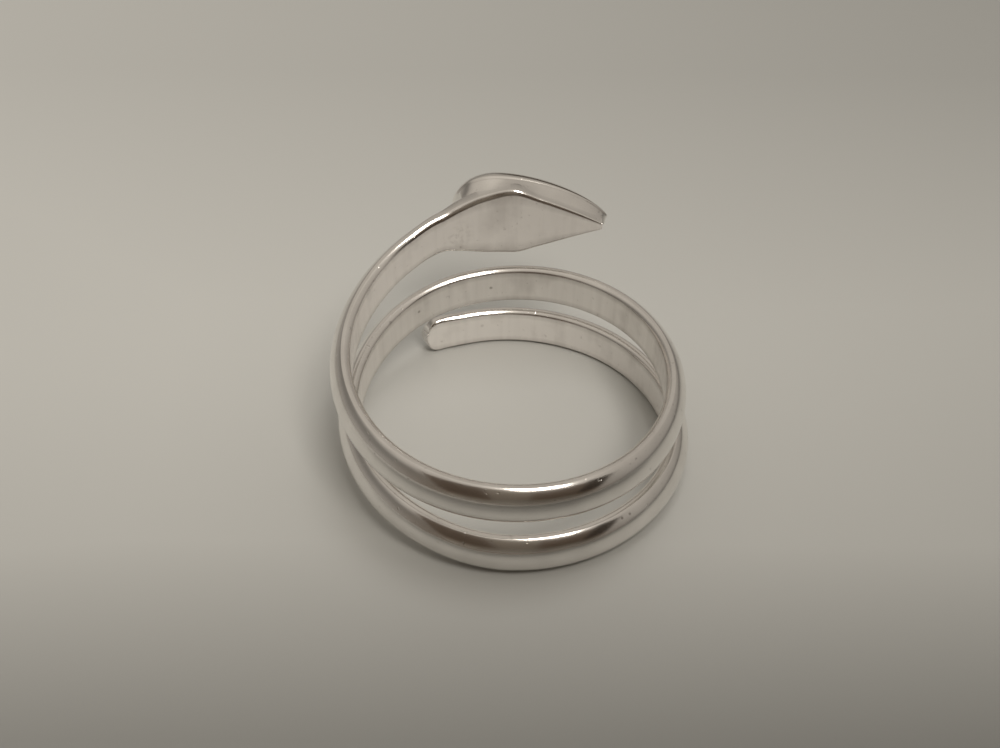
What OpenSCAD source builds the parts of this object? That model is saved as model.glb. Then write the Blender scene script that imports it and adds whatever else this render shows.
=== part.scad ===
// Snake ring in silver: a half-round strip coiled twice round the finger,
// with a rounded tail and a flat kite-shaped head that carries a domed teardrop.
// Millimetres, +Z along the finger, the ring lying on its lower coil.

/* [Coil] */
// Inner diameter of the coil
finger_d = 17.5; // [15:0.1:21]
// Width of the strip
strip_w = 2.5; // [2.2:0.05:2.7]
// Thickness of the strip's edges
edge_t = 0.54; // [0.5:0.02:0.62]
// Bulge of the strip's outer face beyond its edges
crown_h = 0.62; // [0.4:0.02:0.8]
// Rounding of the strip's corners
corner_r = 0.1; // [0.05:0.01:0.11]
// Breadth of the bevel between the strip's inner face and its edges
bevel = 0.3; // [0.1:0.02:0.32]
// Lean of that bevel away from the inner face, in degrees
bevel_lean = 53; // [35:1:56]
// Rounding of the tail's end, seen from the side
tail_r = 0.85; // [0.4:0.05:0.9]

/* [Head] */
// Widest part of the head's plate
head_w = 4.5; // [3.8:0.05:5]
// Thickness of the head's plate
plate_t = 0.9; // [0.8:0.05:1.1]
// Breadth of the bevel round the inner face of the plate
plate_bevel = 0.32; // [0.1:0.02:0.4]
// Thickness of the whole head at the back of its dome
head_t = 2.2; // [1.9:0.05:2.5]
// Length of the domed teardrop
dome_l = 9.2; // [8:0.1:9.5]
// Width of the domed teardrop
dome_w = 4.5; // [3.8:0.05:4.9]
// How much lower the dome is at the snout, as a share of its height
snout_drop = 0.3; // [0:0.05:0.4]
// How far the snout points down below the middle of the head
snout_dip = 0.45; // [0:0.05:0.5]

/* [Hidden] */

// Where the coil starts, in degrees anticlockwise from +X; it runs clockwise
tail_at = 125;
// Turn at which the tail ends
tail_from = 0.4;
// Turn at which the head leaves the coil along its tangent, flat and straight
head_from = 755;
// Height of the strip's middle line in its lowest turn, and of the head's
low = strip_w / 2;
head_mid = 9.3;
// Bulge and rounding of the flat plate, and the lean of its bevel in degrees
plate_h = 0.02;
plate_r = 0.12;
plate_lean = 34;

// Columns of the strip's table: degrees of turn from the tail's end, inner
// radius beyond the finger's, height of the middle line, width, thickness at
// the edges, bulge of the outer face, rounding of the corners, and breadth and
// lean of the bevel between the inner face and the edges
TURN = 0;
SWELL = 1;
MID = 2;
WIDE = 3;
EDGE = 4;
CROWN = 5;
ROUND = 6;
CUT = 7;
LEAN = 8;
strip_rows = [
    [  0,  0.35, low,             strip_w,       edge_t,  0.25,    0.06,     0.06,        40],
    [  7,  0.22, low,             strip_w,       edge_t,  crown_h, corner_r, 0.8 * bevel, 48],
    [ 16,  0.06, low,             strip_w,       edge_t,  crown_h, corner_r, bevel,       bevel_lean],
    [ 50,  0.00, low,             strip_w,       edge_t,  crown_h, corner_r, bevel,       bevel_lean],
    [ 80,  0.10, low,             strip_w,       edge_t,  crown_h, corner_r, bevel,       bevel_lean],
    [135,  0.25, low,             strip_w,       edge_t,  crown_h, corner_r, bevel,       bevel_lean],
    [180,  0.12, low,             strip_w,       edge_t,  crown_h, corner_r, bevel,       bevel_lean],
    [215,  0.02, low,             strip_w,       edge_t,  crown_h, corner_r, bevel,       bevel_lean],
    [255, -0.05, low + 0.60,      strip_w,       edge_t,  crown_h, corner_r, bevel,       bevel_lean],
    [315, -0.10, low + 1.85,      strip_w,       edge_t,  crown_h, corner_r, bevel,       bevel_lean],
    [375,  0.00, low + 3.15,      strip_w,       edge_t,  crown_h, corner_r, bevel,       bevel_lean],
    [435, -0.05, low + 3.52,      strip_w,       edge_t,  crown_h, corner_r, bevel,       bevel_lean],
    [495, -0.25, low + 3.55,      strip_w,       edge_t,  crown_h, corner_r, bevel,       bevel_lean],
    [555, -0.05, low + 3.78,      strip_w,       edge_t,  crown_h, corner_r, bevel,       bevel_lean],
    [615,  0.05, low + 4.25,      strip_w,       edge_t,  crown_h, corner_r, bevel,       bevel_lean],
    [675,  0.05, low + 5.72,      strip_w,       edge_t,  crown_h, corner_r, bevel,       bevel_lean],
    [713,  0.02, head_mid - 0.80, strip_w,       edge_t,  crown_h, corner_r, bevel,       43],
    [727,  0.00, head_mid - 0.24, strip_w + 0.1, 0.65,    0.3,     plate_r,  bevel,       37],
    [735,  0.00, head_mid - 0.17, 0.73 * head_w, 0.8,     0.1,     plate_r,  plate_bevel, 36],
    [745,  0.00, head_mid - 0.11, 0.92 * head_w, plate_t, plate_h, plate_r,  plate_bevel, plate_lean],
    [755,  0.00, head_mid,        head_w,        plate_t, plate_h, plate_r,  0.28,        plate_lean],
    [765,  0.00, head_mid - 0.02, 0.77 * head_w, plate_t, plate_h, plate_r,  0.2,         plate_lean],
    [777,  0.00, head_mid - 0.07, 0.45 * head_w, plate_t, plate_h, plate_r,  0.15,        plate_lean],
    [789,  0.00, head_mid - 0.17, 0.10 * head_w, plate_t, plate_h, 0.1,      0.04,        plate_lean]
];
last_turn = strip_rows[len(strip_rows) - 1][TURN];

// Columns of the dome's table: share of the height between the plate's outer
// face and the top, size of that layer against the widest one, and how free it
// is of the plate's edge, from which the wall under the dome flares
RISE = 0;
SIZE = 1;
FREE = 2;
dome_rows = [
    [-0.44, 0.955, 0],
    [-0.22, 0.965, 0.33],
    [ 0.00, 0.973, 0.67],
    [ 0.20, 0.982, 0.97],
    [ 0.23, 0.965, 1],
    [ 0.27, 0.97,  1],
    [ 0.38, 1.00,  1],
    [ 0.50, 0.995, 1],
    [ 0.65, 0.975, 1],
    [ 0.80, 0.94,  1],
    [ 0.91, 0.87,  1],
    [ 0.97, 0.72,  1],
    [ 0.99, 0.50,  1],
    [ 1.00, 0.22,  1]
];
// The dome's widest place and the centre that its layers shrink to, measured
// along the head from where it leaves the coil
dome_wide_at = -0.9;
dome_centre = 0.2;
dome_back = 2.7;
dome_front = dome_l - dome_back;
// Height of the dome's middle line above the plate's
dome_up = 0.13;
// Powers that set how round the dome's back is, how late its sides draw in
// towards the snout, and how blunt the snout is
back_power = 2.3;
side_power = 1.75;
snout_power = 0.7;

// Fineness of the facets
foot_steps = 1;
brow_steps = 2;
corner_steps = 2;
crown_steps = 4;
tail_steps = 5;
dome_steps = 14;

// Slope between row i and row i + 1 in column c
function rise(rows, i, c) = (rows[i + 1][c] - rows[i][c]) / (rows[i + 1][0] - rows[i][0]);
// Slope at row i that lets the curve pass smoothly and never overshoot
function bend(rows, i, c) =
    i == 0 || i == len(rows) - 1 ? rise(rows, min(i, len(rows) - 2), c) :
    let (a = rise(rows, i - 1, c), b = rise(rows, i, c)) a * b <= 0 ? 0 : 2 * a * b / (a + b);
// Row below a turn
function row_at(rows, turn, i = 0) =
    i >= len(rows) - 2 || rows[i + 1][0] > turn ? i : row_at(rows, turn, i + 1);
// Value of column c at a turn, on a smooth curve through the rows
function value(rows, turn, c) =
    let (
        i = row_at(rows, turn),
        span = rows[i + 1][0] - rows[i][0],
        u = (turn - rows[i][0]) / span,
        v = 1 - u
    )
    rows[i][c] * (1 + 2 * u) * v * v + rows[i + 1][c] * (3 - 2 * u) * u * u
        + span * (bend(rows, i, c) * u * v * v - bend(rows, i + 1, c) * u * u * v);

// Point of the strip at a turn, so far outwards and so far up from its inner middle line
function on_strip(turn, out, up) =
    let (
        coiled = min(turn, head_from),
        a = tail_at - coiled,
        r = finger_d / 2 + value(strip_rows, turn, SWELL),
        ahead = (turn - coiled) * r * PI / 180
    )
    [(r + out) * cos(a) + ahead * sin(a), (r + out) * sin(a) - ahead * cos(a),
     value(strip_rows, turn, MID) + up];

// Width of the strip at a turn, drawn in round the tail's end
function strip_width(turn) =
    let (
        along = (turn - tail_from) * PI / 180 * finger_d / 2,
        u = min(1, along / tail_r)
    )
    value(strip_rows, turn, WIDE) - 2 * tail_r * (1 - sqrt(1 - (1 - u) * (1 - u)));

// Points of an arc round a centre as [out, up], from one angle to another, but for its first
function arc(centre, r, from, to, steps) =
    [for (k = [1 : steps]) let (a = from + (to - from) * k / steps)
        centre + r * [cos(a), sin(a)]];

// Outline of the section at a turn as [out, up] points: flat inside, bevelled at
// both corners there, and round outside
function section(turn) =
    let (
        half = strip_width(turn) / 2,
        edge = value(strip_rows, turn, EDGE),
        crown = value(strip_rows, turn, CROWN),
        cut = value(strip_rows, turn, CUT),
        lean = value(strip_rows, turn, LEAN),
        r = min(value(strip_rows, turn, ROUND), 0.9 * half),
        reach = (crown * crown + (half - r) * (half - r)) / (2 * crown),
        tilt = atan2(half - r, reach - crown),
        foot = [r, half - r - cut * cos(lean)],
        brow = foot + cut * [sin(lean), cos(lean)],
        top = concat(
            [foot - [r, 0]],
            arc(foot, r, 180, 180 - lean, foot_steps),
            arc(brow, r, 180 - lean, 90, brow_steps),
            [[edge - r, half]],
            arc([edge - r, half - r], r, 90, tilt, corner_steps),
            arc([edge + crown - reach - r, 0], reach + r, tilt, 0, crown_steps)
        )
    )
    concat(top, [for (k = [len(top) - 2 : -1 : 0]) [top[k][0], -top[k][1]]]);

// Turns at which the strip has a section: close together at the tail and in the head
strip_turns = concat(
    [for (k = [0 : tail_steps])
        tail_from + tail_r / (finger_d / 2) * 180 / PI * (1 - cos(90 * k / tail_steps))],
    [for (turn = [9 : 3 : 18]) turn],
    [for (turn = [22 : 6 : 706]) turn],
    [for (turn = [712 : 3 : last_turn - 1]) turn],
    [last_turn]
);

// Half the dome's width at a distance behind or ahead of its widest place
function dome_half(x) = x < 0
    ? dome_w / 2 * sqrt(1 - pow(-x / dome_back, back_power))
    : dome_w / 2 * pow(1 - pow(x / dome_front, side_power), snout_power);
// Places along the dome, close together at its ends
dome_places = concat(
    [for (k = [0 : dome_steps - 1]) -dome_back * cos(90 * k / dome_steps)],
    [for (k = [0 : dome_steps]) dome_front * sin(90 * k / dome_steps)]
);
// Outline of the dome's widest layer as [along, up] points
dome_outline = concat(
    [for (x = dome_places) [x + dome_wide_at, -dome_half(x)]],
    [for (k = [len(dome_places) - 2 : -1 : 1]) let (x = dome_places[k]) [x + dome_wide_at, dome_half(x)]]
);
// Point of the dome in a layer, on the head where it is straight
function on_dome(layer, p) =
    let (
        x = dome_centre + (p[0] - dome_centre) * layer[SIZE],
        ahead = max(0, x - dome_wide_at) / dome_front,
        out = plate_t + (head_t - plate_t) * layer[RISE] * (1 - snout_drop * ahead),
        a = tail_at - head_from,
        r = finger_d / 2,
        turn = min(last_turn, head_from + x / r * 180 / PI),
        plate_mid = value(strip_rows, turn, MID),
        plate_half = value(strip_rows, turn, WIDE) / 2 - 0.03,
        up = head_mid + dome_up - snout_dip * ahead * ahead + p[1] * layer[SIZE] - plate_mid,
        held = max(-plate_half, min(plate_half, up))
    )
    [(r + out) * cos(a) + x * sin(a), (r + out) * sin(a) - x * cos(a),
     plate_mid + held + (up - held) * layer[FREE]];

// Faces that skin a stack of closed rings of n points each, and close both ends
function skin(rings, n) = concat(
    [for (k = [1 : n - 2]) [0, k + 1, k]],
    [for (j = [0 : rings - 2], k = [0 : n - 1]) let (a = j * n + k, b = j * n + (k + 1) % n)
        each [[a, b, a + n], [b, b + n, a + n]]],
    [for (k = [1 : n - 2]) let (a = (rings - 1) * n) [a, a + k, a + k + 1]]
);

strip_points = [for (turn = strip_turns, p = section(turn)) on_strip(turn, p[0], p[1])];
dome_points = [for (layer = dome_rows, p = dome_outline) on_dome(layer, p)];

// Middle of the ring seen from above, which stands over the origin
function middle(axis) =
    let (all = [for (p = concat(strip_points, dome_points)) p[axis]]) (min(all) + max(all)) / 2;
ring_middle = [middle(0), middle(1), 0];

// The coiled strip with its tail, neck and flat head
module strip() {
    polyhedron(strip_points, skin(len(strip_turns), len(section(last_turn))));
}

// The domed teardrop on the outside of the head
module dome() {
    polyhedron(dome_points, skin(len(dome_rows), len(dome_outline)));
}

// The whole ring, soldered into one piece
module snake_ring() {
    color("silver") translate(-ring_middle) {
        strip();
        dome();
    }
}

snake_ring();
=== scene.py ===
import math

import bpy
from mathutils import Matrix, Vector


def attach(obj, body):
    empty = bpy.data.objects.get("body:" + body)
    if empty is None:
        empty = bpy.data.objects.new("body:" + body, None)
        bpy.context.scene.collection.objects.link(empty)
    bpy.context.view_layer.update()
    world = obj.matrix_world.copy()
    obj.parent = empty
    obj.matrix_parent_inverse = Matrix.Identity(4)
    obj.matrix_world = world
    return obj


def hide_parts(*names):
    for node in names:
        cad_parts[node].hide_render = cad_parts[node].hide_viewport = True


MM = 0.001

# Sizes of the ring in millimetres and degrees. All but END_R, which rounds off both ends
# of the strip, are the same as the construction's
FINGER_D = 17.5
STRIP_W = 2.5
EDGE_T = 0.54
CROWN_H = 0.62
CORNER_R = 0.1
BEVEL = 0.3
BEVEL_LEAN = 53.0
TAIL_R = 0.85
END_R = 0.06
HEAD_W = 4.5
PLATE_T = 0.9
PLATE_H = 0.02
PLATE_R = 0.12
PLATE_BEVEL = 0.32
PLATE_LEAN = 34.0
HEAD_T = 2.2
DOME_L = 9.2
DOME_W = 4.5
DOME_UP = 0.13
SNOUT_DROP = 0.3
SNOUT_DIP = 0.45
TAIL_AT = 125.0
TAIL_FROM = 0.4
HEAD_FROM = 755.0
LOW = STRIP_W / 2
HEAD_MID = 9.3

# The strip, a row per station: degrees of turn from the tail's end, inner radius
# beyond the finger's, height of the middle line, width, thickness at the edges,
# bulge of the outer face, rounding of the corners, and the bevel between the inner
# face and the edge: its breadth, and how far it leans from the inner face
STRIP_ROWS = [
    (0, 0.35, LOW, STRIP_W, EDGE_T, 0.25, 0.06, 0.06, 40.0),
    (7, 0.22, LOW, STRIP_W, EDGE_T, CROWN_H, CORNER_R, 0.8 * BEVEL, 48.0),
    (16, 0.06, LOW, STRIP_W, EDGE_T, CROWN_H, CORNER_R, BEVEL, BEVEL_LEAN),
    (50, 0.0, LOW, STRIP_W, EDGE_T, CROWN_H, CORNER_R, BEVEL, BEVEL_LEAN),
    (80, 0.1, LOW, STRIP_W, EDGE_T, CROWN_H, CORNER_R, BEVEL, BEVEL_LEAN),
    (135, 0.25, LOW, STRIP_W, EDGE_T, CROWN_H, CORNER_R, BEVEL, BEVEL_LEAN),
    (180, 0.12, LOW, STRIP_W, EDGE_T, CROWN_H, CORNER_R, BEVEL, BEVEL_LEAN),
    (215, 0.02, LOW, STRIP_W, EDGE_T, CROWN_H, CORNER_R, BEVEL, BEVEL_LEAN),
    (255, -0.05, LOW + 0.6, STRIP_W, EDGE_T, CROWN_H, CORNER_R, BEVEL, BEVEL_LEAN),
    (315, -0.1, LOW + 1.85, STRIP_W, EDGE_T, CROWN_H, CORNER_R, BEVEL, BEVEL_LEAN),
    (375, 0.0, LOW + 3.15, STRIP_W, EDGE_T, CROWN_H, CORNER_R, BEVEL, BEVEL_LEAN),
    (435, -0.05, LOW + 3.52, STRIP_W, EDGE_T, CROWN_H, CORNER_R, BEVEL, BEVEL_LEAN),
    (495, -0.25, LOW + 3.55, STRIP_W, EDGE_T, CROWN_H, CORNER_R, BEVEL, BEVEL_LEAN),
    (555, -0.05, LOW + 3.78, STRIP_W, EDGE_T, CROWN_H, CORNER_R, BEVEL, BEVEL_LEAN),
    (615, 0.05, LOW + 4.25, STRIP_W, EDGE_T, CROWN_H, CORNER_R, BEVEL, BEVEL_LEAN),
    (675, 0.05, LOW + 5.72, STRIP_W, EDGE_T, CROWN_H, CORNER_R, BEVEL, BEVEL_LEAN),
    (713, 0.02, HEAD_MID - 0.8, STRIP_W, EDGE_T, CROWN_H, CORNER_R, BEVEL, 43.0),
    (727, 0.0, HEAD_MID - 0.24, STRIP_W + 0.1, 0.65, 0.3, PLATE_R, BEVEL, 37.0),
    (735, 0.0, HEAD_MID - 0.17, 0.73 * HEAD_W, 0.8, 0.1, PLATE_R, PLATE_BEVEL, 36.0),
    (745, 0.0, HEAD_MID - 0.11, 0.92 * HEAD_W, PLATE_T, PLATE_H, PLATE_R, PLATE_BEVEL, PLATE_LEAN),
    (755, 0.0, HEAD_MID, HEAD_W, PLATE_T, PLATE_H, PLATE_R, 0.28, PLATE_LEAN),
    (765, 0.0, HEAD_MID - 0.02, 0.77 * HEAD_W, PLATE_T, PLATE_H, PLATE_R, 0.2, PLATE_LEAN),
    (777, 0.0, HEAD_MID - 0.07, 0.45 * HEAD_W, PLATE_T, PLATE_H, PLATE_R, 0.15, PLATE_LEAN),
    (789, 0.0, HEAD_MID - 0.17, 0.1 * HEAD_W, PLATE_T, PLATE_H, 0.1, 0.04, PLATE_LEAN),
]
TURN, SWELL, MID, WIDE, EDGE, CROWN, ROUND, CUT, LEAN = range(9)
LAST_TURN = STRIP_ROWS[-1][TURN]

# The dome, a row per layer: share of the height between the plate's outer face
# and the top, size of that layer against the widest one, and how free it is of
# the plate's edge, from which the wall under the dome flares
DOME_ROWS = [
    (-0.44, 0.955, 0.0),
    (-0.22, 0.965, 0.33),
    (0.0, 0.973, 0.67),
    (0.2, 0.982, 0.97),
    (0.23, 0.965, 1.0),
    (0.27, 0.97, 1.0),
    (0.38, 1.0, 1.0),
    (0.5, 0.995, 1.0),
    (0.65, 0.975, 1.0),
    (0.8, 0.94, 1.0),
    (0.91, 0.87, 1.0),
    (0.97, 0.72, 1.0),
    (0.99, 0.5, 1.0),
    (1.0, 0.22, 1.0),
]
# Where the dome is widest and where its layers shrink to, ahead of the head's start,
# and how far it reaches back and ahead of its widest place
DOME_WIDE_AT = -0.9
DOME_CENTRE = 0.2
DOME_BACK = 2.7
DOME_FRONT = DOME_L - DOME_BACK
# Powers of the curves that shape its back, its sides and its snout
BACK_POWER = 2.3
SIDE_POWER = 1.75
SNOUT_POWER = 0.7
# How far inside the plate's edge the wall under the dome starts
WALL_INSET = 0.03

# How far polishing has rounded the bevel either way of its lean
BEVEL_ROUND = math.radians(14.0)
# Most of an edge and of half a width that the rounding of a corner takes up
ROUND_OF_EDGE = 0.49
ROUND_OF_HALF = 0.9
# Edges sharper than this, in degrees, stay sharp
SHARP_ANGLE = 30.0

# The photograph's camera: place from the coil's axis in millimetres, angles, focal length
# and width of the picture in pixels, and width of the film in millimetres
CAMERA_PLACE = Vector((-0.676, -50.128, 52.814))
CAMERA_TILT = math.radians(43.36)
CAMERA_ROLL = math.radians(0.52)
FOCUS_PIXELS = 1244.7
PHOTO_WIDTH = 1000
SENSOR = 36.0

# Side of the floor in metres
FLOOR_SIDE = 1.6

# The room's light by the sine of the height above the horizon, on the right and at the
# back, and on the left. In front, where it is dim, it has one tone
ROOM_TONES = [
    (0.0, 0.13), (0.05, 0.14), (0.11, 0.28), (0.4, 0.34), (0.64, 0.41), (0.87, 0.45), (0.96, 0.56),
]
LEFT_TONES = [
    (0.0, 0.31), (0.2, 0.28), (0.38, 0.19), (0.54, 0.18), (0.66, 0.38), (0.77, 0.5), (0.96, 0.56),
]
ROOM_TINT = (1.0, 0.92, 0.81)
FRONT_TONE = (0.15, 0.125, 0.1, 1.0)
# Something dark and low behind on the right: the way to it, and its tone
DARK_WAY = (0.292, 0.956)
DARK_TONE = (0.05, 0.035, 0.025, 1.0)
# Where those parts of the room begin and end, as parts of a way 1 long: from where
# a part begins to show, and over how far
LEFT_FADE = (0.3, 0.35)
FRONT_FADE = (0.3, 0.45)
FRONT_TOP = (0.72, 0.12)
DARK_FADE = (0.95, 0.03)
DARK_TOP = (0.26, 0.08)
# Lamps, a row each: name, the way to it, its size in metres, the way that its first side
# runs, its power and colour, and whether the silver mirrors it. All are as far away
LAMPS = [
    ("overhead", (0.26, -0.43, 0.87), (0.2, 0.24), (1.0, 0.35, 0.0), 1.38, (1.0, 0.94, 0.86), True),
    ("ceiling", (0.12, 0.2, 0.97), (0.25, 0.25), (1.0, 0.0, 0.0), 0.55, (1.0, 0.97, 0.93), False),
]
LAMPS_AWAY = 0.6
# Cards that the silver mirrors and that shade the floor, and that the camera doesn't see.
# They stand behind the camera, across its view, a row each: left, right, low and high in
# millimetres, and how light it is. Towards their foot they grow as light as CARD_FOOT says
CARDS = [
    (-50.0, -9.0, -60.0, 13.0, 0.28),
    (-9.0, 18.0, -60.0, 13.0, 0.6),
    (18.0, 58.0, -60.0, 13.0, 0.36),
    (58.0, 96.0, -60.0, 21.0, 0.12),
]
CARDS_BEHIND = 4.0
CARD_FOOT = 1.0
# How far up a card its own tone begins, as a share of its height
CARD_FOOT_TOP = 0.4
# Colour of a card by how light it is
CARD_TONES = [
    (0.0, 0.0),
    (0.4, (0.4, 0.31, 0.25, 1.0)),
    (0.7, (0.7, 0.64, 0.58, 1.0)),
    (1.0, (1.0, 0.96, 0.92, 1.0)),
]

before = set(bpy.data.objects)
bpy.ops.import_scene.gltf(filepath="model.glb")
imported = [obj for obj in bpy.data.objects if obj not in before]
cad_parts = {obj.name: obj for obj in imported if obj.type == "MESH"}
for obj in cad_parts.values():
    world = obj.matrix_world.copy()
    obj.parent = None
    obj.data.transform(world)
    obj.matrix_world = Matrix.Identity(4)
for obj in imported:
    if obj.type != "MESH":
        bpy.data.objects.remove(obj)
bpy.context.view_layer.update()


# Reading the tables

def slope(rows, i, column):
    return (rows[i + 1][column] - rows[i][column]) / (rows[i + 1][0] - rows[i][0])


def bend(rows, i, column):
    """Slope at row i that lets the curve pass smoothly and never overshoot."""
    if i in (0, len(rows) - 1):
        return slope(rows, min(i, len(rows) - 2), column)
    before = slope(rows, i - 1, column)
    after = slope(rows, i, column)
    return 0.0 if before * after <= 0 else 2 * before * after / (before + after)


def value(rows, at, column):
    """Value of a column between the rows, on a smooth curve through them."""
    i = max(k for k in range(len(rows) - 1) if k == 0 or rows[k][0] <= at)
    span = rows[i + 1][0] - rows[i][0]
    u = (at - rows[i][0]) / span
    v = 1 - u
    ends = rows[i][column] * (1 + 2 * u) * v * v + rows[i + 1][column] * (3 - 2 * u) * u * u
    return ends + span * (bend(rows, i, column) * u * v * v - bend(rows, i + 1, column) * u * u * v)


def strip_width(turn):
    """Width of the strip, drawn in round the tail's end."""
    along = math.radians(turn - TAIL_FROM) * FINGER_D / 2 - END_R
    u = min(1.0, along / TAIL_R)
    return value(STRIP_ROWS, turn, WIDE) - 2 * TAIL_R * (1 - math.sqrt(1 - (1 - u) ** 2))


# Node trees written as expressions

class Socket:
    """A socket of a node tree, or a plain number, that can stand in an expression."""

    def __init__(self, tree, link):
        self.tree = tree
        self.link = link

    def math(self, operation, *others):
        return self.tree.node("ShaderNodeMath", {"operation": operation}, [self, *others])

    def __add__(self, other):
        return self.math("ADD", other)

    def __radd__(self, other):
        return self.math("ADD", other)

    def __sub__(self, other):
        return self.math("SUBTRACT", other)

    def __rsub__(self, other):
        return self.tree.node("ShaderNodeMath", {"operation": "SUBTRACT"}, [other, self])

    def __mul__(self, other):
        return self.math("MULTIPLY", other)

    def __rmul__(self, other):
        return self.math("MULTIPLY", other)

    def __truediv__(self, other):
        return self.math("DIVIDE", other)

    def __neg__(self):
        return self.math("MULTIPLY", -1.0)


# The sockets of a Mix node that blend colours, whose names are not their own
MIX_FACTOR, MIX_FIRST, MIX_SECOND, MIX_RESULT = 0, 6, 7, 2


class Tree:
    """A node tree under construction."""

    def __init__(self, tree):
        self.tree = tree

    def node(self, kind, settings=None, inputs=(), output=0):
        """A new node: its settings first, then the values or links of its sockets."""
        made = self.tree.nodes.new(kind)
        for name, setting in (settings or {}).items():
            if name == "stops":
                self.stops(made.color_ramp, setting)
            else:
                setattr(made, name, setting)
        named = inputs.items() if isinstance(inputs, dict) else enumerate(inputs)
        for name, given in named:
            if isinstance(given, Socket):
                self.tree.links.new(given.link, made.inputs[name])
            else:
                made.inputs[name].default_value = given
        return Socket(self, made.outputs[output]) if made.outputs else made

    def mix(self, factor, first, second):
        """A blend of two colours."""
        given = {MIX_FACTOR: factor, MIX_FIRST: first, MIX_SECOND: second}
        return self.node("ShaderNodeMix", {"data_type": "RGBA"}, given, output=MIX_RESULT)

    @staticmethod
    def stops(ramp, stops):
        """Sets a ramp's stops, each a place and a grey or a colour."""
        while len(ramp.elements) < len(stops):
            ramp.elements.new(1.0)
        for element, (place, colour) in zip(ramp.elements, stops):
            element.position = place
            element.color = colour if isinstance(colour, tuple) else (colour, colour, colour, 1.0)

    def other(self, socket, output):
        """Another output of the node that a socket belongs to."""
        return Socket(self, socket.link.node.outputs[output])


def empty_tree(owner):
    """The node tree of a material or a world, emptied."""
    owner.use_nodes = True
    owner.node_tree.nodes.clear()
    return Tree(owner.node_tree)


def tinted(stops, tint):
    """A ramp's stops given as greys, all in one tint."""
    return [(place, tuple(grey * part for part in tint) + (1.0,)) for place, grey in stops]


def clamped(x, low=0.0, high=1.0):
    return x.math("MINIMUM", high).math("MAXIMUM", low)


def rising(x, begin, over):
    """0 up to where it begins, then rising to 1."""
    return clamped((x - begin) / over)


# The strip: a guide line with its sizes, swept into a closed skin

RINGS_PER_DEGREE = 0.8
# Steps of the tail's round end and of the rounding at both ends of the strip, and
# degrees of turn left free between the tail's rings and the next one
TAIL_STEPS = 8
END_STEPS = 7
TAIL_GAP = 0.6
# Steps round half a section: inner face, foot of the bevel, bevel, brow of the bevel,
# edge, outer corner, outer face
SECTION_STEPS = (3, 3, 5, 3, 1, 4, 18)
HALF_SECTION = sum(SECTION_STEPS)
# Steps from the middle of the inner face to where its mark ends, to the line at the
# bevel's foot that carries a painted dark reflection, and how many steps that line takes up
INNER_STEPS = SECTION_STEPS[0] + 2
REFLECTION_LINE_AT = SECTION_STEPS[0] + SECTION_STEPS[1] / 2
REFLECTION_LINE_STEPS = 2
# Lifts a whole number that came out a trace low, before it is rounded down
TRACE = 0.0001


def strip_stations():
    """Places along the strip: turn, shift ahead, and how far the skin is drawn in there."""
    count = round(LAST_TURN * RINGS_PER_DEGREE)
    quarter = [math.pi / 2 * k / TAIL_STEPS for k in range(TAIL_STEPS + 1)]
    first = [END_R + TAIL_R * (1 - math.cos(a)) for a in quarter]
    start = [TAIL_FROM + math.degrees(along / (FINGER_D / 2)) for along in first]
    even = [LAST_TURN * k / count for k in range(count + 1)]
    turns = start + [turn for turn in even if turn > start[-1] + TAIL_GAP]
    stations = [(turn, 0.0, 0.0) for turn in turns]
    ends = [math.pi / 2 * k / END_STEPS for k in range(1, END_STEPS + 1)]
    tail = [(turns[0], -END_R * math.sin(a), END_R * (1 - math.cos(a))) for a in ends]
    tip = [(turns[-1], END_R * math.sin(a), END_R * (1 - math.cos(a))) for a in ends]
    return tail[::-1] + stations + tip


def guide_line():
    """A line along the middle of the strip's inner face that carries the sizes of each section."""
    stations = strip_stations()
    points = []
    names = ("azimuth", "half", "edge", "crown", "corner", "cut", "lean", "inset")
    sizes = {name: [] for name in names}
    for turn, shift, inset in stations:
        coiled = min(turn, HEAD_FROM)
        a = math.radians(TAIL_AT - coiled)
        r = FINGER_D / 2 + value(STRIP_ROWS, turn, SWELL)
        ahead = math.radians(turn - coiled) * r + shift
        edge = value(STRIP_ROWS, turn, EDGE)
        half = strip_width(turn) / 2
        points.append((
            r * math.cos(a) + ahead * math.sin(a),
            r * math.sin(a) - ahead * math.cos(a),
            value(STRIP_ROWS, turn, MID),
        ))
        sizes["azimuth"].append(a)
        sizes["half"].append(half)
        sizes["edge"].append(edge)
        sizes["crown"].append(value(STRIP_ROWS, turn, CROWN))
        round_most = min(ROUND_OF_EDGE * edge, ROUND_OF_HALF * half)
        sizes["corner"].append(min(value(STRIP_ROWS, turn, ROUND), round_most))
        sizes["cut"].append(value(STRIP_ROWS, turn, CUT))
        sizes["lean"].append(math.radians(value(STRIP_ROWS, turn, LEAN)))
        sizes["inset"].append(inset)
    mesh = bpy.data.meshes.new("guide")
    mesh.from_pydata(points, [(k, k + 1) for k in range(len(points) - 1)], [])
    for name, numbers in sizes.items():
        mesh.attributes.new(name, "FLOAT", "POINT").data.foreach_set("value", numbers)
    return mesh


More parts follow.
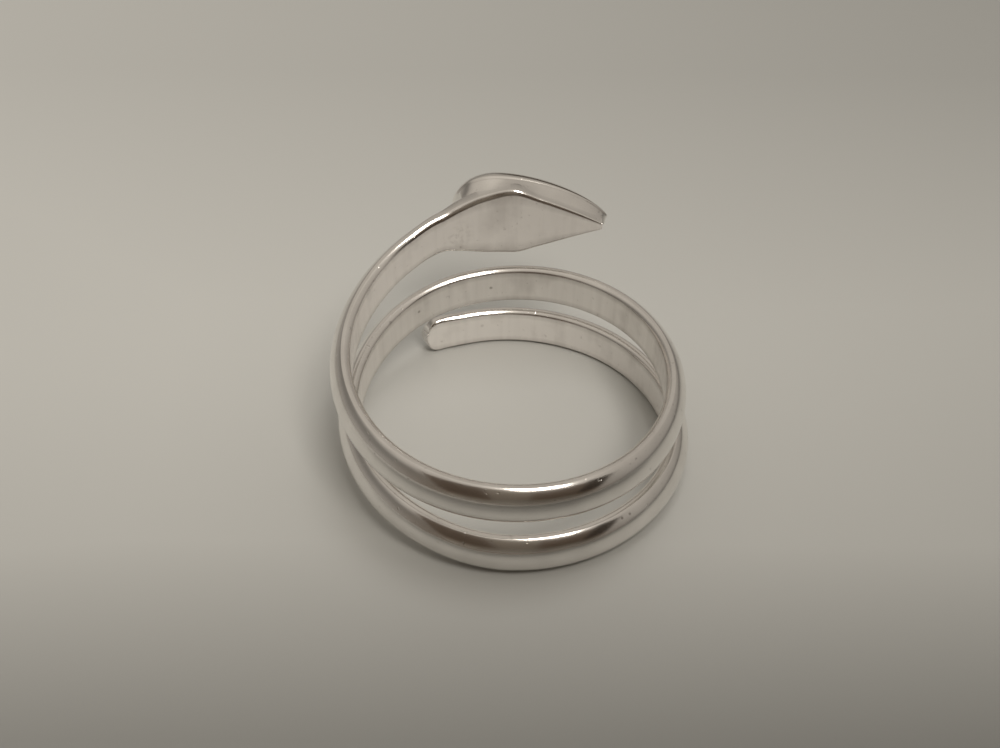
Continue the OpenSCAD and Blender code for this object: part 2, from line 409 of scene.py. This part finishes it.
def strip_tree():
    """Geometry nodes that sweep the half-round section along the guide line."""
    group = bpy.data.node_groups.new("half_round_strip", "GeometryNodeTree")
    face = group.interface
    face.new_socket("Guide", in_out="INPUT", socket_type="NodeSocketGeometry")
    for name in ("Rings", "Points round half a section"):
        face.new_socket(name, in_out="INPUT", socket_type="NodeSocketInt")
    face.new_socket("Scale", in_out="INPUT", socket_type="NodeSocketFloat")
    face.new_socket("Silver", in_out="INPUT", socket_type="NodeSocketMaterial")
    face.new_socket("Strip", in_out="OUTPUT", socket_type="NodeSocketGeometry")
    t = Tree(group)
    guide = t.node("NodeGroupInput")
    rings = t.other(guide, "Rings")
    half_count = t.other(guide, "Points round half a section")
    scale = t.other(guide, "Scale")

    # A closed tube with as many rings as the guide has points
    tube = t.node(
        "GeometryNodeMeshCylinder",
        {"fill_type": "NGON"},
        {"Vertices": half_count * 2, "Side Segments": rings - 1},
    )
    index = t.node("GeometryNodeInputIndex")
    ring = (index / (half_count * 2) + TRACE).math("FLOOR")
    step = index - ring * half_count * 2
    side = (half_count - step).math("SIGN")
    from_crown = (half_count - step).math("ABSOLUTE")
    along_half = half_count - from_crown

    def at_ring(kind, carried):
        """What the guide's point for this ring carries."""
        given = {"Geometry": guide, "Value": carried, "Index": ring}
        return t.node("GeometryNodeSampleIndex", {"data_type": kind, "domain": "POINT"}, given)

    def size(name):
        number = {"data_type": "FLOAT"}
        return at_ring("FLOAT", t.node("GeometryNodeInputNamedAttribute", number, {"Name": name}))

    azimuth = size("azimuth")
    inset = size("inset")
    crown = size("crown")
    corner = size("corner")
    edge = size("edge")
    half = size("half")
    cut = size("cut")
    lean = size("lean")
    # The outer face is an arc of this radius, which reaches the corner at this tilt
    reach = (crown * crown + (half - corner) * (half - corner)) / (2 * crown)
    tilt = (half - corner).math("ARCTAN2", reach - crown)

    # How far each stretch of the half section has been gone along, from 0 to 1, and how
    # far the skin has turned there: from facing inwards up to the brow, and from facing
    # outwards beyond it
    gone = []
    passed = 0
    for steps in SECTION_STEPS:
        gone.append(clamped((along_half - passed) / steps))
        passed += steps
    on_inner, on_foot, on_bevel, on_brow, on_edge, on_corner, on_crown = gone
    foot_turn = (lean - BEVEL_ROUND) * on_foot
    bevel_turn = lean + BEVEL_ROUND * (2 * on_bevel - 1)
    brow_turn = (lean + BEVEL_ROUND) * (1 - on_brow) + math.pi / 2 * on_brow
    outer_turn = math.pi / 2 - on_corner * (math.pi / 2 - tilt)
    crown_turn = tilt * (1 - on_crown)
    bevel_r = cut / (2 * math.sin(BEVEL_ROUND))
    bevel_out = cut * lean.math("SINE") - 2 * corner * lean.math("SINE") * math.sin(BEVEL_ROUND)
    bevel_up = cut * lean.math("COSINE") - 2 * corner * lean.math("COSINE") * math.sin(BEVEL_ROUND)
    out = (
        corner * (1 - foot_turn.math("COSINE"))
        + bevel_r * ((lean - BEVEL_ROUND).math("COSINE") - bevel_turn.math("COSINE"))
        + corner * ((lean + BEVEL_ROUND).math("COSINE") - brow_turn.math("COSINE"))
        + (edge - 2 * corner - bevel_out) * on_edge
        + corner * outer_turn.math("COSINE")
        + (reach + corner) * (crown_turn.math("COSINE") - tilt.math("COSINE"))
    )
    up = (
        (half - corner - bevel_up) * on_inner
        + corner * foot_turn.math("SINE")
        + bevel_r * (bevel_turn.math("SINE") - (lean - BEVEL_ROUND).math("SINE"))
        + corner * (brow_turn.math("SINE") - (lean + BEVEL_ROUND).math("SINE"))
        + corner * (outer_turn.math("SINE") - 1)
        + (reach + corner) * (crown_turn.math("SINE") - tilt.math("SINE"))
    )
    out = inset + out * (1 - 2 * inset / (edge + crown))
    up = side * up * (1 - inset / half)

    middle = at_ring("FLOAT_VECTOR", t.node("GeometryNodeInputPosition"))
    outwards = t.node("ShaderNodeCombineXYZ", inputs=[
        out * azimuth.math("COSINE"), out * azimuth.math("SINE"), up,
    ])
    place = t.node("ShaderNodeVectorMath", {"operation": "ADD"}, [middle, outwards])
    place = t.node("ShaderNodeVectorMath", {"operation": "SCALE"}, {"Vector": place, "Scale": scale})
    skin = t.node("GeometryNodeSetPosition", inputs={"Geometry": tube, "Position": place})

    # Marks for the finish: 1 on the flat inner face, 1 along the line where the
    # bevel begins, which carries a painted dark reflection, and the way along the strip
    inner = 1 - clamped(along_half - INNER_STEPS)
    line = clamped(REFLECTION_LINE_STEPS - (along_half - REFLECTION_LINE_AT).math("ABSOLUTE"))
    for name, mark in (("inner", inner), ("line", line), ("way", ring / rings)):
        skin = t.node(
            "GeometryNodeStoreNamedAttribute",
            {"data_type": "FLOAT", "domain": "POINT"},
            {"Geometry": skin, "Name": name, "Value": mark},
        )
    skin = t.node("GeometryNodeRealizeInstances", inputs={"Geometry": skin})
    silver = t.other(guide, "Silver")
    skin = t.node("GeometryNodeSetMaterial", inputs={"Geometry": skin, "Material": silver})
    t.node("NodeGroupOutput", inputs=[skin])
    return group


def set_input(modifier, name, given):
    """Sets a geometry nodes modifier's input by its socket's identifier."""
    for item in modifier.node_group.interface.items_tree:
        if item.name == name and item.in_out == "INPUT":
            modifier[item.identifier] = given


def plain(carrier):
    """The evaluated shape of an object as a plain mesh, the object itself being removed."""
    evaluated = carrier.evaluated_get(bpy.context.evaluated_depsgraph_get())
    mesh = bpy.data.meshes.new_from_object(evaluated)
    bpy.data.objects.remove(carrier)
    return mesh


def new_object(name, mesh):
    made = bpy.data.objects.new(name, mesh)
    bpy.context.scene.collection.objects.link(made)
    return made


def strip(silver):
    """The coiled strip with its tail, neck and flat head, as one closed mesh."""
    carrier = new_object("strip", guide_line())
    count = len(carrier.data.vertices)
    sweep = carrier.modifiers.new("sweep", "NODES")
    sweep.node_group = strip_tree()
    set_input(sweep, "Rings", count)
    set_input(sweep, "Points round half a section", HALF_SECTION)
    set_input(sweep, "Scale", MM)
    set_input(sweep, "Silver", silver)
    bpy.context.view_layer.update()
    return plain(carrier)


# The dome, lofted in layers

DOME_STEPS = 56
LAYER_STEPS = 5


def dome_half(x):
    """Half the dome's width at a distance behind or ahead of its widest place."""
    if x < 0:
        return DOME_W / 2 * math.sqrt(1 - (-x / DOME_BACK) ** BACK_POWER)
    return DOME_W / 2 * (1 - (x / DOME_FRONT) ** SIDE_POWER) ** SNOUT_POWER


def dome_outline():
    """Outline of the dome's widest layer as (along, up) points."""
    back = [-DOME_BACK * math.cos(math.pi / 2 * k / DOME_STEPS) for k in range(DOME_STEPS)]
    front = [DOME_FRONT * math.sin(math.pi / 2 * k / DOME_STEPS) for k in range(DOME_STEPS + 1)]
    places = back + front
    low_side = [(x + DOME_WIDE_AT, -dome_half(x)) for x in places]
    high_side = [(x + DOME_WIDE_AT, dome_half(x)) for x in places[-2:0:-1]]
    return low_side + high_side


def on_dome(rise, size, free, along, up):
    """Point of the dome in a layer, on the head where it is straight."""
    x = DOME_CENTRE + (along - DOME_CENTRE) * size
    ahead = max(0.0, x - DOME_WIDE_AT) / DOME_FRONT
    out = PLATE_T + (HEAD_T - PLATE_T) * rise * (1 - SNOUT_DROP * ahead)
    turn = min(LAST_TURN, HEAD_FROM + math.degrees(x / (FINGER_D / 2)))
    plate_mid = value(STRIP_ROWS, turn, MID)
    plate_half = value(STRIP_ROWS, turn, WIDE) / 2 - WALL_INSET
    up = HEAD_MID + DOME_UP - SNOUT_DIP * ahead ** 2 + up * size - plate_mid
    held = max(-plate_half, min(plate_half, up))
    return Vector((x, FINGER_D / 2 + out, plate_mid + held + (up - held) * free))


def dome(silver):
    """The domed teardrop on the outside of the head, as one closed mesh."""
    rows = [(k, *row) for k, row in enumerate(DOME_ROWS)]
    count = (len(rows) - 1) * LAYER_STEPS
    outline = dome_outline()
    points = []
    for k in range(count + 1):
        layer = [value(rows, k / LAYER_STEPS, column) for column in (1, 2, 3)]
        points += [on_dome(*layer, x, up) * MM for x, up in outline]
    n = len(outline)
    faces = [tuple(range(n)), tuple(reversed(range(count * n, (count + 1) * n)))]
    for j in range(count):
        for k in range(n):
            a = j * n + k
            b = j * n + (k + 1) % n
            faces.append((b, a, a + n, b + n))
    mesh = bpy.data.meshes.new("dome")
    mesh.from_pydata(points, [], faces)
    mesh.materials.append(silver)
    return mesh


def snake_ring(silver):
    """The whole ring: strip and dome as one skin, standing where the construction stands."""
    ring = new_object("silver_ring", strip(silver))
    domed = new_object("dome", dome(silver))
    union = ring.modifiers.new("solder", "BOOLEAN")
    union.operation = "UNION"
    union.solver = "MANIFOLD"
    union.object = domed
    bpy.context.view_layer.update()
    mesh = plain(ring)
    bpy.data.objects.remove(domed)
    places = [v.co for v in mesh.vertices]
    middle = [(min(p[i] for p in places) + max(p[i] for p in places)) / 2 for i in (0, 1)]
    mesh.transform(Matrix.Translation((-middle[0], -middle[1], 0.0)))
    for face in mesh.polygons:
        face.use_smooth = True
    mesh.set_sharp_from_angle(angle=math.radians(SHARP_ANGLE))
    return new_object("silver_ring", mesh), Vector((-middle[0], -middle[1], 0.0))


# Finishes

# Marks on the silver, a row each: place on the ring and radius in millimetres, and how dark
SPECKS = [
    (-1.37, 8.14, 4.52, 0.13, 0.5),
    (-5.66, 6.2, 4.21, 0.12, 0.5),
    (-1.9, 8.05, 1.5, 0.16, 0.22),
    (5.75, -8.15, 2.35, 0.12, 0.7),
    (6.15, -7.8, 2.28, 0.1, 0.5),
]
# How high a mark's fade starts in its middle: above 1, it leaves an even core
SPOT_CORE = 1.6
# Where solder has roughened the inner face of the head, and how far round
SOLDER_AT = (-3.3, 7.65, 8.85)
SOLDER_REACH = 1.1
# Patches per metre along X, Y and Z, and detail: satin lines across the inner face,
# clouds of tarnish, grain, scratches along the polished faces, and the waves left by
# hand work
SATIN_LINES = ((2600.0, 2600.0, 160.0), 2.0)
CLOUDS = ((520.0, 520.0, 420.0), 4.0)
GRAINS = ((3200.0, 3200.0, 3200.0), 2.0)
SCRATCHES = ((900.0, 900.0, 9000.0), 3.0)
WAVES = ((420.0, 420.0, 900.0), 1.0)
# From where such noise counts, and over how much more of it: clouds inside, grains of the
# solder, and grains deep enough for a pit
CLOUDS_SHOW = (0.5, 0.5)
SOLDER_SHOWS = (0.45, 1 / 3)
PITS_SHOW = (0.68, 0.1)
# The way along the strip where the middle turn begins and ends, each with its fade. The middle
# turn's inner face gets painted shade
MIDDLE_BEGINS = (0.3, 0.1)
MIDDLE_ENDS = (0.78, 0.1)
# Colours of clean silver and of tarnished and shaded silver, and what each mark adds
# towards the second: the line at the bevel's foot, a painted dark reflection, the middle turn,
# painted shade, clouds and satin lines inside, solder, pits, and clouds outside
SILVER = (0.97, 0.945, 0.915, 1.0)
TARNISH_AND_SHADE = (0.2, 0.165, 0.14, 1.0)
PAINTED_REFLECTION_LINE, PAINTED_SHADE_MIDDLE, DARK_CLOUD, DARK_SATIN = 0.5, 0.12, 0.4, 0.2
DARK_SOLDER, DARK_PITS, DARK_OUTSIDE = 0.35, 0.25, 0.3
# Roughness of the polished faces, and what clouds, the inner face, its satin lines and
# the solder add to it
ROUGH_POLISHED, ROUGH_CLOUD, ROUGH_INNER, ROUGH_SATIN, ROUGH_SOLDER = 0.13, 0.06, 0.27, 0.12, 0.1
# Heights of scratches and waves outside, satin lines and clouds inside, solder, and pits,
# the depth in metres of all that, and how strongly it shows
HIGH_SCRATCH, HIGH_WAVE, HIGH_SATIN, HIGH_CLOUD = 0.12, 0.9, 0.35, 0.5
HIGH_SOLDER, LOW_PIT = 1.2, 0.6
RELIEF_DEPTH = 0.00003
RELIEF_STRENGTH = 0.5
# How much less the satin inner face mirrors, and how much of that the middle turn regains: the
# duller tail and head come out lighter inside, a lit copy of one finish
INNER_DULL = 0.78
MIDDLE_REGAINS = 0.55


def spot(t, place, at, reach):
    """1 at a place on the ring, falling to 0 at a distance, both in millimetres."""
    inputs = [place, tuple(part * MM for part in at)]
    gap = t.node("ShaderNodeVectorMath", {"operation": "DISTANCE"}, inputs, output="Value")
    return clamped(SPOT_CORE - gap * (SPOT_CORE / (reach * MM)))


def noise(t, place, spread, detail):
    """Smooth noise from 0 to 1, with so many patches per metre along X, Y and Z."""
    scaled = t.node("ShaderNodeVectorMath", {"operation": "MULTIPLY"}, [place, spread])
    return t.node("ShaderNodeTexNoise", {}, {"Vector": scaled, "Scale": 1.0, "Detail": detail})


def silver_finish():
    """Polished silver, worn a little, with painted shade and a painted dark reflection, and satin on
    its inner faces.
    """
    material = bpy.data.materials.new("silver")
    t = empty_tree(material)
    inner = t.node("ShaderNodeAttribute", {"attribute_name": "inner"}, output="Fac")
    line = t.node("ShaderNodeAttribute", {"attribute_name": "line"}, output="Fac")
    way = t.node("ShaderNodeAttribute", {"attribute_name": "way"}, output="Fac")
    place = t.other(t.node("ShaderNodeTexCoord"), "Object")

    outer = 1 - inner
    satin = noise(t, place, *SATIN_LINES)
    cloud = noise(t, place, *CLOUDS)
    grain = noise(t, place, *GRAINS)
    scratches = noise(t, place, *SCRATCHES)
    waves = noise(t, place, *WAVES)
    solder = spot(t, place, SOLDER_AT, SOLDER_REACH) * inner
    pits = rising(grain, *PITS_SHOW)
    # Inside, the middle turn is painted darker than the tail and the head: painted shade
    middle = rising(way, *MIDDLE_BEGINS) * (1 - rising(way, *MIDDLE_ENDS))

    # The line at the bevel's foot: a painted dark reflection
    dark = line * PAINTED_REFLECTION_LINE
    for x, y, z, reach, depth in SPECKS:
        dark = dark + spot(t, place, (x, y, z), reach) * depth
    # Painted shade on the middle turn's inner face, and clouds of tarnish
    tarnish_and_shade = PAINTED_SHADE_MIDDLE * middle + DARK_CLOUD * rising(cloud, *CLOUDS_SHOW)
    dark = dark + inner * (tarnish_and_shade + DARK_SATIN * (satin - 0.5))
    dark = dark + solder * rising(grain, *SOLDER_SHOWS) * DARK_SOLDER
    dark = dark + pits * DARK_PITS + outer * cloud * DARK_OUTSIDE

    rough = ROUGH_POLISHED + ROUGH_CLOUD * cloud + inner * (ROUGH_INNER + ROUGH_SATIN * satin)
    rough = rough + solder * ROUGH_SOLDER
    relief = outer * (HIGH_SCRATCH * scratches + waves * HIGH_WAVE)
    relief = relief + inner * (HIGH_SATIN * satin + HIGH_CLOUD * cloud)
    relief = relief + solder * grain * HIGH_SOLDER - pits * LOW_PIT
    bump = t.node("ShaderNodeBump", inputs={
        "Strength": RELIEF_STRENGTH,
        "Distance": RELIEF_DEPTH,
        "Height": relief,
    })
    # The tail's and the head's inner faces mirror less than the middle turn's: a lit copy of one
    # finish
    shader = t.node("ShaderNodeBsdfPrincipled", inputs={
        "Base Color": t.mix(clamped(dark), SILVER, TARNISH_AND_SHADE),
        "Metallic": 1.0 - inner * (INNER_DULL - MIDDLE_REGAINS * middle),
        "Roughness": rough,
        "Normal": bump,
    })
    t.node("ShaderNodeOutputMaterial", inputs={"Surface": shader})
    return material


# The paper's colours where it is least and best lit, and how well lit it is in the middle,
# from 0 to 1. It loses so much per metre towards the right, and towards the front and
# the back, each from so many metres off and over so many metres
PAPER = ((0.26, 0.262, 0.252, 1.0), (0.61, 0.615, 0.595, 1.0))
PAPER_LIT = 0.87
PAPER_ACROSS = 6.2
PAPER_AHEAD = 50.0
AHEAD_FROM = 0.008
AHEAD_OVER = 0.012
PAPER_BEHIND = 8.6
BEHIND_FROM = 0.012
BEHIND_OVER = 0.03
PAPER_ROUGH = 0.5
PAPER_SHINE = 0.2


def paper_finish():
    """The pale paper that the ring lies on, a little darker to the right, in front and behind."""
    material = bpy.data.materials.new("paper")
    t = empty_tree(material)
    place = t.other(t.node("ShaderNodeTexCoord"), "Object")
    parts = t.node("ShaderNodeSeparateXYZ", inputs=[place])
    across = t.other(parts, "X")
    back = t.other(parts, "Y")
    ahead = clamped(-back - AHEAD_FROM, 0.0, AHEAD_OVER) * PAPER_AHEAD
    behind = clamped(back - BEHIND_FROM, 0.0, BEHIND_OVER) * PAPER_BEHIND
    lit = clamped(PAPER_LIT - across * PAPER_ACROSS - ahead - behind)
    shader = t.node("ShaderNodeBsdfPrincipled", inputs={
        "Base Color": t.mix(lit, *PAPER),
        "Roughness": PAPER_ROUGH,
        "Specular IOR Level": PAPER_SHINE,
    })
    t.node("ShaderNodeOutputMaterial", inputs={"Surface": shader})
    return material


def card_finish():
    """Brown card, as light as its own attribute says."""
    material = bpy.data.materials.new("card")
    t = empty_tree(material)
    light = t.node("ShaderNodeAttribute", {"attribute_name": "light"}, output="Fac")
    colour = t.node("ShaderNodeValToRGB", {"stops": CARD_TONES}, [light])
    shader = t.node("ShaderNodeBsdfDiffuse", inputs={"Color": colour})
    t.node("ShaderNodeOutputMaterial", inputs={"Surface": shader})
    return material


# The studio

def floor():
    half = FLOOR_SIDE / 2
    corners = [(-half, -half, 0.0), (half, -half, 0.0), (half, half, 0.0), (-half, half, 0.0)]
    mesh = bpy.data.meshes.new("floor")
    mesh.from_pydata(corners, [], [(0, 1, 2, 3)])
    mesh.materials.append(paper_finish())
    made = new_object("floor", mesh)


def room():
    """The light of a plain room, brightest overhead and dim in front."""
    world = bpy.data.worlds.new("room")
    t = empty_tree(world)
    towards = t.other(t.node("ShaderNodeTexCoord"), "Object")
    parts = t.node("ShaderNodeSeparateXYZ", inputs=[towards])
    across = t.other(parts, "X")
    back = t.other(parts, "Y")
    height = t.other(parts, "Z")
    right = t.node("ShaderNodeValToRGB", {"stops": tinted(ROOM_TONES, ROOM_TINT)}, [height])
    left = t.node("ShaderNodeValToRGB", {"stops": tinted(LEFT_TONES, ROOM_TINT)}, [height])
    tone = t.mix(rising(-across, *LEFT_FADE), right, left)
    in_front = rising(-back, *FRONT_FADE) * (1 - rising(height, *FRONT_TOP))
    tone = t.mix(in_front, tone, FRONT_TONE)
    level = (1 - height * height).math("SQRT")
    facing = (across * DARK_WAY[0] + back * DARK_WAY[1]) / level
    low_dark = rising(facing, *DARK_FADE) * (1 - rising(height, *DARK_TOP))
    tone = t.mix(low_dark, tone, DARK_TONE)
    glow = t.node("ShaderNodeBackground", inputs={"Color": tone, "Strength": 1.0})
    t.node("ShaderNodeOutputWorld", inputs={"Surface": glow})
    bpy.context.scene.world = world


def lamp(name, towards, size, along, power, colour, mirrored):
    """A soft lamp that faces the ring."""
    data = bpy.data.lights.new(name, "AREA")
    data.shape = "RECTANGLE"
    data.size, data.size_y = size
    data.energy = power
    data.color = colour
    made = bpy.data.objects.new(name, data)
    back = Vector(towards).normalized()
    across = Vector(along).cross(back).normalized()
    turn = Matrix((across.cross(back), across, back)).transposed().to_4x4()
    made.matrix_world = Matrix.Translation(back * LAMPS_AWAY) @ turn
    made.visible_glossy = mirrored
    bpy.context.scene.collection.objects.link(made)


def cards(view):
    """Cards behind the camera, seen only by the silver and the floor."""
    finish = card_finish()
    for left, right, low, high, lightness in CARDS:
        foot_top = (1 - CARD_FOOT_TOP) * low + CARD_FOOT_TOP * high
        steps = [(low, CARD_FOOT), (foot_top, lightness), (high, lightness)]
        places = [Vector((x, y, CARDS_BEHIND)) * MM for y, _ in steps for x in (left, right)]
        mesh = bpy.data.meshes.new("card")
        mesh.from_pydata([view @ place for place in places], [], [(0, 1, 3, 2), (2, 3, 5, 4)])
        tones = [light for _, light in steps for _ in (left, right)]
        mesh.attributes.new("light", "FLOAT", "POINT").data.foreach_set("value", tones)
        mesh.materials.append(finish)
        made = new_object("card", mesh)
        made.visible_camera = False


def camera(axis):
    """The photograph's camera, placed from where the coil's axis stands."""
    right = Vector((1.0, 0.0, 0.0))
    ahead = Vector((0.0, math.cos(CAMERA_TILT), -math.sin(CAMERA_TILT)))
    up = right.cross(ahead)
    level_right = right * math.cos(CAMERA_ROLL) + up * math.sin(CAMERA_ROLL)
    level_up = up * math.cos(CAMERA_ROLL) - right * math.sin(CAMERA_ROLL)
    turn = Matrix((level_right, level_up, -ahead)).transposed().to_4x4()
    data = bpy.data.cameras.new("camera")
    data.sensor_width = SENSOR
    data.lens = SENSOR * FOCUS_PIXELS / PHOTO_WIDTH
    data.clip_start = MM
    made = bpy.data.objects.new("camera", data)
    made.matrix_world = Matrix.Translation(axis + CAMERA_PLACE * MM) @ turn
    bpy.context.scene.collection.objects.link(made)
    bpy.context.scene.camera = made
    return made.matrix_world


# Making it all

silver_ring, coil_axis = snake_ring(silver_finish())
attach(silver_ring, "root")
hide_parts("snake_ring")
room()
for row in LAMPS:
    lamp(*row)
floor()
cards(camera(coil_axis))
bpy.context.scene.view_settings.view_transform = "Standard"
